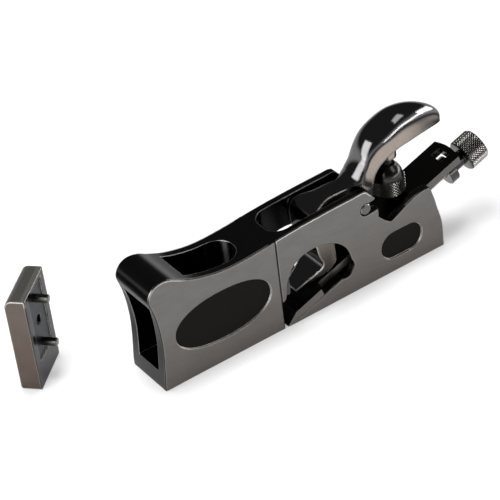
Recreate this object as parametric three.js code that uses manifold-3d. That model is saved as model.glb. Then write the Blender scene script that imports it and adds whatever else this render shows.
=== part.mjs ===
// A three-in-one shoulder plane: cast body, removable long nose, low-angle T-shaped blade, palm-swell
// lever cap with its knurled thumbscrew, knurled depth adjuster, and a spare short nose that stands
// beside it. Millimetres, +Z up. The sole lies on z = 0, the toe points along -X, and the origin is the
// middle of the sole.
import * as THREE from "three";
import { mergeVertices } from "three/addons/utils/BufferGeometryUtils.js";
import Module from "manifold-3d";

const wasm = await Module();
wasm.setup();

// Driving dimensions of the castings. Heights are above the sole.
const bodyWidth = 28.6;
const noseLength = 69.7;
const jointHeight = 52.7;
const cheekThickness = 4.2;
const arris = 0.4;
const jointGap = 0.3;
const cutOverrun = 5;

// The hollow nose.
const noseWall = 4.6;
const noseFloor = 9.5;
const topOpeningFront = 20.5;
const noseBackWall = 14.7;
const roofHeight = 48.5;
const floorNarrowing = 1.3;
const flareDepth = 14;
const flareRim = 2;
const recessDepth = 1;
const ovalLength = 55.2;
const ovalHeight = 27.6;
const ovalAcross = 37.1;
const ovalUp = 26.8;
const ovalFullness = 2.2;
const matingRelief = 0.8;
const matingRimSide = 4.4;
const matingRimTop = 2.4;
const matingRimFoot = 13;

// The screw and the dowels that locate a nose on the body.
const noseScrewHeight = 31.5;
const dowelSpacing = 13;
const dowelDiameter = 4.2;
const dowelLength = 12;
const dowelProud = 6.4;
const noseScrewDiameter = 5;
const noseScrewHead = 9;
const noseScrewHeadHeight = 3.4;
const noseScrewGrip = 7;
const driverSlotWidth = 1.2;
const driverSlotDepth = 1.4;
const fitGap = 0.3;
const dowelGap = 0.15;

// The blade and its bed. Along is measured up the bed from the mouth, and above is square to it.
const bedAngle = THREE.MathUtils.degToRad(19);
const mouthGap = 2.3;
const bladeThickness = 4.2;
const bladeOverhang = 24.2;
const bladeHeadLength = 23.7;
const shoulderRadius = 3.5;
const bevelAngle = THREE.MathUtils.degToRad(30);
const cuttingLand = 0.15;
const bladeEndRise = 1.7;
const seatGap = 0.3;
const sideGap = 0.7;
const adjusterSlotLength = 5.6;
const adjusterSlotWidth = 8;
const adjusterSlotEnd = 3.6;

// The escapement through both cheeks, and the web that carries the nose screw.
const throatHeight = 37.5;
const webFoot = 15.3;
const lobeAlong = 39.7;
const lobeAbove = 3.7;
const lobeRadius = 5.2;
const lobeStart = THREE.MathUtils.degToRad(19);
const webThickness = 8;
const webShoulder = 51;
const webTop = 46.5;
const slotFront = 2.8;
const slotCornerRadius = 7.5;
const badgeLength = 25.7;
const badgeHeight = 15.5;
const badgeBack = 25.9;
const badgeUp = 15.7;
const crestHeight = 4.9;
const crestLength = 35.8;
const heelLean = 5.5;
const heelRound = 1.6;
const heelRoundLean = 0.4;

// The lever cap, measured from its cross pin along and above the blade.
const pinAlong = 63.3;
const pinAbove = 20.65;
const pinDiameter = 5.8;
const pinSlotGap = 0.4;
const capReach = 61.8;
const capRise = 27.3;
const capSideGap = 0.7;
const toeReach = 48.8;
const toeWidth = 9;

// The thumbscrew under the palm swell, which stands upright.
const thumbAlong = 19.5;
const thumbDiameter = 18;
const thumbKnurl = 9.4;
const thumbShoulder = 6.6;
const thumbShoulderDiameter = 11;
const thumbStemDiameter = 6;
const thumbFoot = 3.15;
const thumbStemLength = 36;
const thumbTravel = 4;
const bossDiameter = 11;

// The depth adjuster, whose spindle lies parallel to the bed.
const spindleBelow = 7;
const spindleDiameter = 5;
const spindleGrip = 15;
const knobDiameter = 17.4;
const knobLength = 11.3;
const knobChamfer = 1;
const knobBehindBlade = 3.8;
const flangeDiameter = 14.4;
const neckDiameter = 8;
const spindleInKnob = 7;
const knobEndWall = 2.5;

// The spare nose: its thickness and where the foot of its mating face stands.
const spareThickness = 10.6;
const spareCorner = 4;
const spareToeRadius = 1.4;
const spareX = -33;
const spareY = 37.5;
const spareTurn = THREE.MathUtils.degToRad(-48);

// Outlines as shares of the sizes that they follow.
// Long nose, from the joint along the top, round the horn and down the front (noseLength, jointHeight).
const noseTopShares = [
  [1, 1], [0.9, 0.985], [0.78, 0.973], [0.666, 0.968], [0.56, 0.975], [0.45, 1], [0.34, 1.04],
  [0.235, 1.1], [0.165, 1.148], [0.108, 1.165], [0.06, 1.16], [0.02, 1.135], [-0.012, 1.085],
  [-0.026, 1.022], [-0.016, 0.955], [0.004, 0.85], [0.02, 0.7], [0.027, 0.52], [0.02, 0.33], [0, 0.07],
];
// Rim of the nose's hollow at the front: up the hollow, and how far it flares out.
const flareShares = [[0, 0], [0.3, 0.05], [0.55, 0.25], [0.75, 0.6], [0.9, 1.05], [1, 1.5]];
// Top of the body behind the joint, along the way to the pin and up from the joint height.
const bodyTopShares = [[0, 1], [0.12, 1.01], [0.3, 1.023], [0.6, 1.036], [0.96, 1.047]];
// Rear corner of the cheeks in front of and over the open pin slot, in pin slot radii from the pin.
const lipShares = [[1.91, 1.18], [1.24, 1.97], [0.6, 2.67], [0.24, 3.08], [-0.55, 3.26], [-1.6, 3.2]];
const slotMouthShares = { floor: [2.21, -0.8], notch: [2.21, -2.3], roof: [1.52, 0.94] };
// Crest of the cheeks beside the blade (crestLength back from the pin, crestHeight above the blade).
const crestShares = [
  [0.99, 0.265], [0.972, 0.571], [0.902, 0.76], [0.818, 0.918], [0.726, 0.97], [0.528, 0.857],
  [0.3, 0.62], [0.265, 0.59], [0.24, 0.7], [0.205, 1.05], [0.178, 1.4],
];
// Rear edge of the body from its foot to its top (heelLean forward of the sole's end, rearHeight).
const rearShares = [
  [0, 0.31], [0.07, 0.436], [0.2, 0.525], [0.38, 0.633], [0.53, 0.72], [0.65, 0.814], [0.84, 0.911], [1, 1],
];
// Escapement arch, from the foot of the web over the top to the rear lobe (its length, throatHeight).
const archShares = [
  [0.055, 0.442], [0.075, 0.53], [0.09, 0.65], [0.126, 0.755], [0.185, 0.862], [0.273, 0.941],
  [0.38, 0.986], [0.49, 1], [0.6, 0.99], [0.69, 0.968], [0.78, 0.92], [0.876, 0.832], [0.95, 0.72],
];

// Lever cap rails from neck to tip (capReach, capRise): lower edge, top of the side band, crown, width.
const lowerShares = [
  [0.02, -0.14], [0.12, -0.09], [0.16, 0.07], [0.195, 0.163], [0.24, 0.256], [0.31, 0.348], [0.421, 0.418],
  [0.523, 0.418], [0.622, 0.363], [0.741, 0.275], [0.845, 0.165], [0.93, 0.062], [0.978, 0], [0.997, -0.026],
];
const bandShares = [
  [-0.07, 0.4], [0.026, 0.359], [0.079, 0.344], [0.126, 0.355], [0.178, 0.414], [0.264, 0.556],
  [0.357, 0.641], [0.456, 0.634], [0.557, 0.593], [0.714, 0.495], [0.825, 0.37], [0.919, 0.212],
  [0.982, 0.078], [1.006, 0.016],
];
const crownShares = [
  [-0.09, 0.44], [0.001, 0.416], [0.058, 0.443], [0.106, 0.494], [0.183, 0.604], [0.266, 0.805],
  [0.378, 0.952], [0.501, 1.008], [0.638, 0.997], [0.754, 0.888], [0.862, 0.703], [0.965, 0.423],
  [1.01, 0.19], [1.011, 0.018],
];
const widthShares = [1, 1, 0.98, 0.89, 0.83, 0.845, 0.935, 0.98, 0.95, 0.83, 0.64, 0.44, 0.27, 0.06];
// Cap inside the slot, from the toe's tip round its top and back under it (toeReach, legDrop).
const legShares = [
  [-0.985, -1], [-0.81, -0.985], [-0.66, -0.965], [-0.57, -0.93], [-0.5, -0.87], [-0.475, -0.75],
  [-0.44, -0.49],
  [-0.385, -0.25], [-0.29, -0.125], [-0.17, -0.16], [-0.04, -0.29], [0.07, -0.255], [0.135, -0.12],
  [0.14, 0.1], [0.11, 0.43], [0.03, 0.46], [-0.082, 0.58], [-0.256, 0.72], [-0.408, 0.79], [-0.48, 0.75],
  [-0.53, 0.64], [-0.56, 0.5], [-0.602, 0.06], [-0.63, -0.43], [-0.625, -0.64], [-0.65, -0.76],
  [-0.995, -0.955],
];
// Plan of the toe (toeReach, half of the cap's width beyond the toe's).
const toeTaperShares = [[-1, 0], [-0.93, 0.12], [-0.8, 0.45], [-0.68, 0.82], [-0.6, 1]];

// Finishes.
const groundIron = new THREE.MeshStandardMaterial({ color: 0x6e6b69, roughness: 0.5, metalness: 1 });
const darkChrome = new THREE.MeshStandardMaterial({ color: 0x2b2928, roughness: 0.15, metalness: 1 });
const blackSteel = new THREE.MeshStandardMaterial({ color: 0x121111, roughness: 0.35, metalness: 1 });
const brightSteel = new THREE.MeshStandardMaterial({ color: 0x8d8a86, roughness: 0.3, metalness: 1 });

// Sizes that follow from the ones above.
const halfWidth = bodyWidth / 2;
const slotHalf = halfWidth - cheekThickness;
const jointX = noseLength + jointGap;
const bedX = noseLength + mouthGap;
const bladeTop = seatGap + bladeThickness;
const pinHeight = bladeTop + pinAbove;
const pinRadius = pinDiameter / 2;
const pinSlotRadius = pinRadius + pinSlotGap;
const capHalf = slotHalf - capSideGap;
const legDrop = pinAbove - seatGap;
const shankHalf = slotHalf - sideGap;
const cavityHalf = halfWidth - noseWall;
const screwRadius = noseScrewDiameter / 2;
const headRadius = noseScrewHead / 2;
const headSeat = noseLength - noseBackWall + noseScrewHeadHeight;
const dowelHeights = { upper: noseScrewHeight + dowelSpacing, lower: noseScrewHeight - dowelSpacing };
const dowelRadius = dowelDiameter / 2;
const spindleRadius = spindleDiameter / 2;
const bladeLength = pinAlong + crestLength + bladeOverhang;
const knobFront = bladeLength + knobBehindBlade;
const flangeEnd = bladeLength - adjusterSlotEnd - fitGap;
const flangeLength = adjusterSlotLength - 2 * fitGap;
const thumbRadius = thumbDiameter / 2;
const stemRadius = thumbStemDiameter / 2;
const thumbPlace = [pinAlong + thumbAlong, 0, bladeTop + seatGap + stemRadius];
const bossFoot = thumbFoot + thumbKnurl + thumbShoulder + thumbTravel + fitGap;
const boreTop = thumbStemLength + thumbTravel + fitGap;
const spindleStart = pinAlong + crestLength - spindleGrip;
const pin = bedPoint(pinAlong, pinHeight);
const crestEnd = crestPoint(crestShares[0]);
const rearHeight = crestEnd[1] - heelRound;
const soleLength = crestEnd[0] + heelRoundLean + heelLean;

// A point of the side view (x from the toe, z) from its place along and above the bed.
function bedPoint(along, above) {
  const c = Math.cos(bedAngle);
  const s = Math.sin(bedAngle);
  return [bedX + along * c - above * s, along * s + above * c];
}

// A point of the cheeks' crest.
function crestPoint([a, b]) {
  return bedPoint(pinAlong + a * crestLength, bladeTop + b * crestHeight);
}

// A solid made along and above the bed, moved to its place in the side view.
function inBed(body) {
  return body.rotate([0, -THREE.MathUtils.radToDeg(bedAngle), 0]).translate([bedX, 0, 0]);
}

// Scales a table of shares to points, from an origin.
function scaled(shares, length, height, x0 = 0, z0 = 0) {
  return shares.map(([a, b]) => [x0 + a * length, z0 + b * height]);
}

// Points along a smooth open curve through the given ones.
function smooth(points, steps) {
  const places = points.map(([x, z]) => new THREE.Vector3(x, z, 0));
  const curve = new THREE.CatmullRomCurve3(places, false, "centripetal");
  return curve.getPoints(steps).map((p) => [p.x, p.y]);
}

// Points of an arc about a centre, ends included.
function arc(cx, cz, radius, from, to, steps, radiusZ = radius) {
  const points = [];
  for (let i = 0; i <= steps; i++) {
    const a = from + ((to - from) * i) / steps;
    points.push([cx + radius * Math.cos(a), cz + radiusZ * Math.sin(a)]);
  }
  return points;
}

// A circle or ellipse as a closed outline.
function round(cx, cz, radius, steps = 32, radiusZ = radius) {
  return arc(cx, cz, radius, 0, 2 * Math.PI, steps, radiusZ).slice(0, -1);
}

// A slot with round ends as a closed outline.
function stadium(cx, cz, length, height) {
  const r = height / 2;
  const reach = length / 2 - r;
  const right = arc(cx + reach, cz, r, -Math.PI / 2, Math.PI / 2, 16);
  return [...right, ...arc(cx - reach, cz, r, Math.PI / 2, 1.5 * Math.PI, 16)];
}

// A closed geometry as a solid.
function solid(geometry) {
  const bare = geometry.index ? geometry.toNonIndexed() : geometry.clone();
  bare.deleteAttribute("normal");
  bare.deleteAttribute("uv");
  const merged = mergeVertices(bare, 1e-4);
  const vertProperties = merged.attributes.position.array;
  return new wasm.Manifold(new wasm.Mesh({ numProp: 3, vertProperties, triVerts: merged.index.array }));
}

// A solid as a geometry.
function geometryOf(body) {
  const mesh = body.getMesh();
  const geometry = new THREE.BufferGeometry();
  geometry.setAttribute("position", new THREE.BufferAttribute(mesh.vertProperties, mesh.numProp));
  geometry.setIndex(new THREE.BufferAttribute(mesh.triVerts, 1));
  geometry.computeVertexNormals();
  return geometry;
}

function extruded(points, depth, bevel) {
  const shape = new THREE.Shape(points.map(([a, b]) => new THREE.Vector2(a, b)));
  const options = { depth: depth - 2 * bevel, steps: 1, curveSegments: 1, bevelEnabled: bevel > 0 };
  Object.assign(options, { bevelThickness: bevel, bevelSize: bevel, bevelOffset: -bevel, bevelSegments: 1 });
  return new THREE.ExtrudeGeometry(shape, options);
}

// A side-view outline made as thick as the given width, about the middle plane or about y = across.
function sidePlate(points, width, bevel = 0, across = 0) {
  const geometry = extruded(points, width, bevel);
  geometry.translate(0, 0, bevel - width / 2);
  return solid(geometry.rotateX(Math.PI / 2).translate(0, across, 0));
}

// A plan outline (x, y) from one height to another.
function plate(points, low, high) {
  return solid(extruded(points, high - low, 0).translate(0, 0, low));
}

// A solid of revolution about a line along x at (y, z), from (x, radius) points with x rising.
function turned(profile, z = 0, y = 0, sides = 40) {
  const points = profile.map(([x, r]) => new THREE.Vector2(r, x));
  return solid(new THREE.LatheGeometry(points, sides)).rotate([0, 0, -90]).translate([0, y, z]);
}

// A solid of revolution about an upright axis, from (radius, z) points with z rising.
function spun(profile, sides = 40) {
  const points = profile.map(([r, z]) => new THREE.Vector2(r, z));
  return solid(new THREE.LatheGeometry(points, sides).rotateX(Math.PI / 2));
}

// A round bar along x, with chamfered ends.
function bar(from, to, radius, z = 0, chamfer = 0) {
  return turned([[from, 0], [from, radius - chamfer], [from + chamfer, radius], [to - chamfer, radius],
    [to, radius - chamfer], [to, 0]].filter(distinct), z);
}

function distinct(point, i, all) {
  return i === 0 || point[0] !== all[i - 1][0] || point[1] !== all[i - 1][1];
}

// A skin over rings that each hold the same number of [x, y, z] points, with flat ends.
function lofted(rings) {
  const count = rings[0].length;
  const positions = rings.flat(2);
  const index = [];
  for (let i = 0; i + 1 < rings.length; i++) {
    for (let j = 0; j < count; j++) {
      const a = i * count + j;
      const b = i * count + ((j + 1) % count);
      index.push(a, b, b + count, a, b + count, a + count);
    }
  }
  const last = (rings.length - 1) * count;
  for (let j = 1; j + 1 < count; j++) {
    index.push(0, j + 1, j, last, last + j, last + j + 1);
  }
  const geometry = new THREE.BufferGeometry();
  geometry.setAttribute("position", new THREE.Float32BufferAttribute(positions, 3));
  geometry.setIndex(index);
  return solid(geometry);
}

// The cuts that every nose and the body share: the clear holes for the nose screw and the dowels.
function dowelHoles(from, to, gap) {
  return Object.values(dowelHeights)
    .map((z) => bar(from, to, dowelRadius + gap, z))
    .reduce((a, b) => a.add(b));
}

// The relief in a mating face, inside a rim that bears on the body.
function matingPanel(face) {
  const across = 2 * (halfWidth - matingRimSide);
  const low = matingRimFoot;
  const high = jointHeight - matingRimTop;
  const floor = face - matingRelief;
  const front = face + cutOverrun;
  return sidePlate([[floor, low], [front, low], [front, high], [floor, high]], across);
}

function longNose() {
  const top = smooth(scaled(noseTopShares, noseLength, jointHeight), 60);
  top[0] = [noseLength, jointHeight];
  let nose = sidePlate([[0, 0], [noseLength, 0], ...top], bodyWidth, arris);

  // The hollow runs in at the front under the horn and comes out at the top behind it.
  const rearX = noseLength - noseBackWall;
  const high = 2 * jointHeight;
  const roof = smooth([
    [topOpeningFront, high], [topOpeningFront, roofHeight + noseWall],
    [topOpeningFront - noseWall / 2, roofHeight + noseWall / 2], [topOpeningFront / 2, roofHeight + arris],
    [0, roofHeight - noseWall / 2], [-cutOverrun, roofHeight - noseWall],
  ], 24);
  const cavity = sidePlate([[-cutOverrun, noseFloor], [rearX, noseFloor], [rearX, high], ...roof], bodyWidth);
  nose = nose.subtract(cavity.intersect(hollowCore(rearX, high)));

  // The mouth of the hollow flares out to the rims under the horn.
  const flare = [-cutOverrun, flareDepth].map((x, i) => {
    const flaring = i === 0 ? flareShares : flareShares.map(([a]) => [a, 0]);
    const side = flaring.map(([a, b]) => {
      const z = noseFloor + a * (roofHeight - noseFloor);
      return [x, hollowHalf(z) - fitGap + b * flareRim, z];
    });
    return [...side.map(([, y, z]) => [x, -y, z]).reverse(), ...side];
  });
  nose = nose.subtract(lofted(flare));

  // The long oval recess is on both sides.
  const oval = round(0, 0, 1, 48).map(([a, b]) => {
    const full = (v) => Math.sign(v) * Math.abs(v) ** (2 / ovalFullness);
    return [ovalAcross + (full(a) * ovalLength) / 2, ovalUp + (full(b) * ovalHeight) / 2];
  });
  for (const side of [-1, 1]) {
    nose = nose.subtract(sidePlate(oval, 2 * recessDepth, 0, side * halfWidth));
  }

  nose = nose.subtract(bar(rearX - cutOverrun, headSeat, headRadius + fitGap, noseScrewHeight));
  nose = nose.subtract(bar(rearX, noseLength + cutOverrun, screwRadius + fitGap, noseScrewHeight));
  const dowelEnd = noseLength - (dowelLength - dowelProud) - fitGap;
  nose = nose.subtract(dowelHoles(dowelEnd, noseLength + cutOverrun, dowelGap));
  return nose.subtract(matingPanel(noseLength));
}

// Half the width of the nose's hollow at a height, with the draft of the casting.
function hollowHalf(z) {
  return cavityHalf - (floorNarrowing * (jointHeight - z)) / (jointHeight - noseFloor);
}

// The hollow's plan, round at the rear, drawn in to the floor.
function hollowCore(rearX, high) {
  return lofted([noseFloor - cutOverrun, high].map((z) => {
    const half = hollowHalf(z);
    const end = arc(rearX - half, 0, half, -Math.PI / 2, Math.PI / 2, 20);
    return [...end, [-cutOverrun, half], [-cutOverrun, -half]].map(([x, y]) => [x, y, z]);
  }));
}

// The spare nose is a short block with a rounded top corner, a rounded toe and the same mating face.
function spareNose() {
  const front = -spareThickness;
  const corner = arc(front + spareCorner, jointHeight - spareCorner, spareCorner, Math.PI, Math.PI / 2, 8);
  const foot = arc(front + spareToeRadius, spareToeRadius, spareToeRadius, 1.5 * Math.PI, Math.PI, 4);
  const outline = [[0, 0], [0, jointHeight], ...corner.reverse(), ...foot.reverse()];
  let nose = sidePlate(outline, bodyWidth, arris);
  nose = nose.subtract(bar(front - cutOverrun, cutOverrun, screwRadius + fitGap, noseScrewHeight));
  const seat = front + noseScrewHeadHeight + fitGap;
  nose = nose.subtract(bar(front - cutOverrun, seat, headRadius + fitGap, noseScrewHeight));
  nose = nose.subtract(dowelHoles(-(dowelLength - dowelProud) - fitGap, cutOverrun, dowelGap));
  return nose.subtract(matingPanel(0));
}

function mainBody() {
  const lobeEnd = Math.asin(lobeAbove / lobeRadius) - Math.PI;
  const lobe = arc(lobeAlong, lobeAbove, lobeRadius, lobeStart, lobeEnd, 20);
  const lobePoints = lobe.map(([s, h]) => bedPoint(s, h));
  const archLength = lobePoints[0][0] - jointX;
  const archRise = scaled(archShares, archLength, throatHeight, jointX);
  const arch = smooth([[jointX, webFoot], ...archRise, lobePoints[0]], 44);
  const rear = smooth(rearShares.map(([a, b]) => [soleLength - a * heelLean, b * rearHeight]), 16);
  const crest = crestShares.map(crestPoint);
  const fromPin = ([a, b]) => [pin[0] + a * pinSlotRadius, pin[1] + b * pinSlotRadius];
  const slotEnd = arc(pin[0], pin[1], pinSlotRadius, 1.5 * Math.PI, Math.PI / 3, 20);
  const topLength = pin[0] - jointX;
  const top = scaled(bodyTopShares, topLength, jointHeight, jointX).slice(0, -1).reverse();
  const outline = [
    [bedX, 0], [soleLength, 0], ...rear, ...crest,
    fromPin(slotMouthShares.notch), fromPin(slotMouthShares.floor), ...slotEnd, fromPin(slotMouthShares.roof),
    ...lipShares.map(fromPin), ...top, ...arch, ...lobePoints.slice(1),
  ];
  let body = sidePlate(outline, bodyWidth, arris);

  // The slot between the cheeks is open from the top down to the bed, behind the web that holds the nose.
  const high = jointHeight * 2;
  const frontX = noseLength + slotFront;
  const webX = noseLength + webThickness;
  const ramp = smooth([
    [frontX, webShoulder], [frontX + arris, webTop + arris], [webX - arris, webTop], [webX, webTop - arris],
  ], 8);
  const bedEnd = bedPoint(bladeLength, 0);
  const bedStart = [webX, (webX - bedX) * Math.tan(bedAngle)];
  const slot = sidePlate([bedStart, bedEnd, [bedEnd[0], high], [frontX, high], ...ramp], 2 * slotHalf);
  const corner = slotCornerRadius;
  const plan = [
    ...arc(frontX + corner, slotHalf - corner, corner, Math.PI / 2, Math.PI, 10),
    ...arc(frontX + corner, corner - slotHalf, corner, Math.PI, 1.5 * Math.PI, 10),
    [bedEnd[0], -slotHalf], [bedEnd[0], slotHalf],
  ];
  body = body.subtract(slot.intersect(plate(plan, 0, high)));
  const web = [
    [jointX, webFoot], [webX - arris, webFoot], [webX, webFoot + arris],
    [webX, throatHeight], [jointX, throatHeight],
  ];
  body = body.add(sidePlate(web, 2 * (slotHalf + arris)));

  for (const side of [-1, 1]) {
    const badge = stadium(soleLength - badgeBack, badgeUp, badgeLength, badgeHeight);
    body = body.subtract(sidePlate(badge, 2 * recessDepth, 0, side * halfWidth));
  }
  body = body.subtract(bar(jointX - cutOverrun, webX + cutOverrun, screwRadius + fitGap, noseScrewHeight));
  body = body.subtract(dowelHoles(jointX - cutOverrun, noseLength + dowelProud + fitGap, dowelGap));
  const spindleBore = bar(spindleStart - fitGap, bladeLength, spindleRadius + fitGap, -spindleBelow);
  return body.subtract(inBed(spindleBore));
}

function noseScrew() {
  const under = headSeat - fitGap;
  const face = under - noseScrewHeadHeight;
  const end = jointX + noseScrewGrip;
  const screw = turned([
    [face, 0], [face, headRadius - arris], [face + arris, headRadius], [under, headRadius],
    [under, screwRadius], [end - arris, screwRadius], [end, screwRadius - arris], [end, 0],
  ]);
  const driver = new THREE.BoxGeometry(2 * driverSlotDepth, noseScrewHead + cutOverrun, driverSlotWidth);
  return screw.subtract(solid(driver.translate(face, 0, 0)));
}

function dowel() {
  return bar(dowelProud - dowelLength, dowelProud, dowelRadius, 0, arris);
}

function blade() {
  const filletAt = [bladeHeadLength + shoulderRadius, shankHalf + shoulderRadius];
  const fillet = arc(...filletAt, shoulderRadius, Math.PI, 1.5 * Math.PI, 6);
  const endRadius = (shankHalf ** 2 + bladeEndRise ** 2) / (2 * bladeEndRise);
  const endAngle = Math.asin(shankHalf / endRadius);
  const half = [[0, halfWidth], [bladeHeadLength, halfWidth], ...fillet];
  const end = arc(bladeLength - endRadius, 0, endRadius, endAngle, -endAngle, 14);
  const mirrored = half.map(([s, y]) => [s, -y]).reverse();
  let steel = plate([...half, ...end, ...mirrored].reverse(), seatGap, bladeTop);

  const edge = seatGap + cuttingLand;
  const bevelLength = (bladeTop - edge) / Math.tan(bevelAngle);
  const rise = cutOverrun * Math.tan(bevelAngle);
  const ahead = -cutOverrun;
  const bevel = [[ahead, edge - rise], [bevelLength - ahead, bladeTop + rise], [ahead, bladeTop + rise]];
  steel = steel.subtract(sidePlate(bevel, 2 * bodyWidth));
  const slot = new THREE.BoxGeometry(adjusterSlotLength, adjusterSlotWidth, 2 * bladeTop);
  const slotAt = bladeLength - adjusterSlotEnd - adjusterSlotLength / 2;
  return steel.subtract(solid(slot.translate(slotAt, 0, bladeTop)));
}

// Lever cap: a flat-sided leg and foot inside the slot, and a domed palm swell lofted on three rails.
function leverCap() {
  const leg = smooth(scaled(legShares, toeReach, legDrop, pinAlong, pinHeight), 90);
  const widening = capHalf - toeWidth / 2;
  const plan = toeTaperShares.map(([a, b]) => [pinAlong + a * toeReach, toeWidth / 2 + b * widening]);
  const rear = pinAlong + capReach;
  const near = [...plan, [rear, capHalf]];
  const outline = [...near.map(([s, y]) => [s, -y]), ...near.reverse()];
  const foot = sidePlate(leg, bodyWidth).intersect(plate(outline, 0, 2 * jointHeight));

  const stations = 44;
  const along = (shares) => smooth(scaled(shares, capReach, capRise, pinAlong, pinHeight), stations);
  const lower = along(lowerShares);
  const band = along(bandShares);
  const crown = along(crownShares);
  const widths = smooth(widthShares.map((w, i) => [i / (widthShares.length - 1), w]), 4 * stations);
  const domeSteps = 14;
  const rings = lower.map(([s, h], i) => {
    const at = i / stations;
    const width = capHalf * widths.find(([t]) => t >= at - 1 / (8 * stations))[1];
    const dome = [];
    for (let j = 0; j <= domeSteps; j++) {
      const a = (Math.PI * j) / domeSteps;
      const up = Math.sin(a);
      const [x, z] = [0, 1].map((axis) => band[i][axis] + (crown[i][axis] - band[i][axis]) * up);
      dome.push([x, width * Math.cos(a), z]);
    }
    return [[s, width, h], ...dome, [s, -width, h]];
  });
  let cap = foot.add(lofted(rings));

  const bossRadius = bossDiameter / 2;
  const bossTop = thumbStemLength;
  const boss = spun([[0, bossFoot], [bossRadius, bossFoot], [bossRadius, bossTop], [0, bossTop]]);
  const bore = spun([[0, 0], [stemRadius + fitGap, 0], [stemRadius + fitGap, boreTop], [0, boreTop]]);
  cap = cap.add(atThumb(boss)).subtract(atThumb(bore));
  const pinHole = sidePlate(round(pinAlong, pinHeight, pinRadius + fitGap), 2 * bodyWidth);
  return cap.subtract(pinHole);
}

// A solid made about the thumbscrew's axis, from the centre of its round foot, moved over the bed.
function atThumb(body) {
  return body.rotate([0, THREE.MathUtils.radToDeg(bedAngle), 0]).translate([...thumbPlace]);
}

function thumbHead() {
  const top = thumbFoot + thumbKnurl;
  const end = top + thumbShoulder;
  const chamfer = knobChamfer;
  const shoulder = thumbShoulderDiameter / 2;
  const head = spun([
    [0, thumbFoot], [thumbRadius - chamfer, thumbFoot], [thumbRadius, thumbFoot + chamfer],
    [thumbRadius, top - chamfer], [thumbRadius - chamfer, top], [shoulder + arris, end - arris],
    [shoulder, end], [0, end],
  ]);
  const bore = stemRadius + fitGap;
  return head.subtract(spun([[0, 0], [bore, 0], [bore, end + cutOverrun], [0, end + cutOverrun]]));
}

function thumbStem() {
  const foot = arc(0, 0, stemRadius, -Math.PI / 2, 0, 8);
  foot[0][0] = 0;
  const end = thumbStemLength;
  return spun([...foot, [stemRadius, end - arris], [stemRadius - arris, end], [0, end]]);
}

// The knob, its neck and the flange that stands in the blade's slot are turned from one bar.
function adjusterKnob() {
  const r = knobDiameter / 2;
  const end = knobFront + knobLength;
  const knob = turned([
    [flangeEnd - flangeLength, 0], [flangeEnd - flangeLength, flangeDiameter / 2 - arris],
    [flangeEnd - flangeLength + arris, flangeDiameter / 2], [flangeEnd - arris, flangeDiameter / 2],
    [flangeEnd, flangeDiameter / 2 - arris], [flangeEnd, neckDiameter / 2], [knobFront, neckDiameter / 2],
    [knobFront, r - knobChamfer], [knobFront + knobChamfer, r], [end - knobChamfer, r],
    [end, r - knobChamfer], [end, 0],
  ]);
  return knob.subtract(bar(flangeEnd - flangeLength - cutOverrun, end - knobEndWall, spindleRadius + fitGap));
}

function part(name, body, material, x = 0, y = 0, z = 0) {
  const mesh = new THREE.Mesh(geometryOf(body), material);
  mesh.name = name;
  mesh.position.set(x, y, z);
  return mesh;
}

const plane = new THREE.Group();
plane.position.x = -soleLength / 2;
plane.add(part("main_body", mainBody(), groundIron));
plane.add(part("long_nose", longNose(), groundIron));
plane.add(part("nose_screw", noseScrew(), brightSteel, 0, 0, noseScrewHeight));

const spare = new THREE.Group();
spare.position.set(spareX, spareY, 0);
spare.rotation.z = spareTurn;
spare.add(part("bullnose_piece", spareNose(), groundIron));
plane.add(spare);
for (const [level, z] of Object.entries(dowelHeights)) {
  plane.add(part(`nose_dowel_${level}`, dowel(), brightSteel, noseLength, 0, z));
  spare.add(part(`bullnose_dowel_${level}`, dowel(), brightSteel, 0, 0, z));
}

const bed = new THREE.Group();
bed.position.x = bedX;
bed.rotation.y = -bedAngle;
bed.add(part("blade", blade(), blackSteel));
bed.add(part("lever_cap", leverCap(), darkChrome));
const pinBody = sidePlate(round(0, 0, pinRadius), bodyWidth, arris);
bed.add(part("cap_pin", pinBody, brightSteel, pinAlong, 0, pinHeight));
bed.add(part("adjuster_knob", adjusterKnob(), blackSteel, 0, 0, -spindleBelow));
const spindleEnd = knobFront + spindleInKnob;
const spindle = bar(spindleStart, spindleEnd, spindleRadius, 0, arris);
bed.add(part("adjuster_spindle", spindle, brightSteel, 0, 0, -spindleBelow));

const thumb = new THREE.Group();
thumb.position.set(...thumbPlace);
thumb.rotation.y = bedAngle;
thumb.add(part("thumbscrew_head", thumbHead(), blackSteel));
thumb.add(part("thumbscrew_stem", thumbStem(), blackSteel));
bed.add(thumb);
plane.add(bed);

export default plane;
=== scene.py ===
"""Looks of a shoulder plane: ground and dark-bright castings, black steel, knurling, threads and the studio stage."""

import math

import bmesh
import bpy
from bpy.props import FloatProperty, FloatVectorProperty, IntProperty, PointerProperty
from mathutils import Matrix, Vector


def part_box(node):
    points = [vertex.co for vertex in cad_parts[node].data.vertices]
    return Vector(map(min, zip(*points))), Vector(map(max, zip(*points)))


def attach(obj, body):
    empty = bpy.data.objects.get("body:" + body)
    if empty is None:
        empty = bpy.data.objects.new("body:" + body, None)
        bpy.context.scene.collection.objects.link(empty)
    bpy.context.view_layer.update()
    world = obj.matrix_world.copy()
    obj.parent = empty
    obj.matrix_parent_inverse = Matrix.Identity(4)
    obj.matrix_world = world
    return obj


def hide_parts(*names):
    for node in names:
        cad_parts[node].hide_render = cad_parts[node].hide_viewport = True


bl_info = {
    "name": "Shoulder plane looks",
    "version": (1, 0, 0),
    "blender": (4, 5, 0),
    "location": "View3D > Sidebar > Plane",
    "description": "Finishes, knurling, threads and stage around the packed model of a shoulder plane",
    "category": "Object",
}

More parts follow.
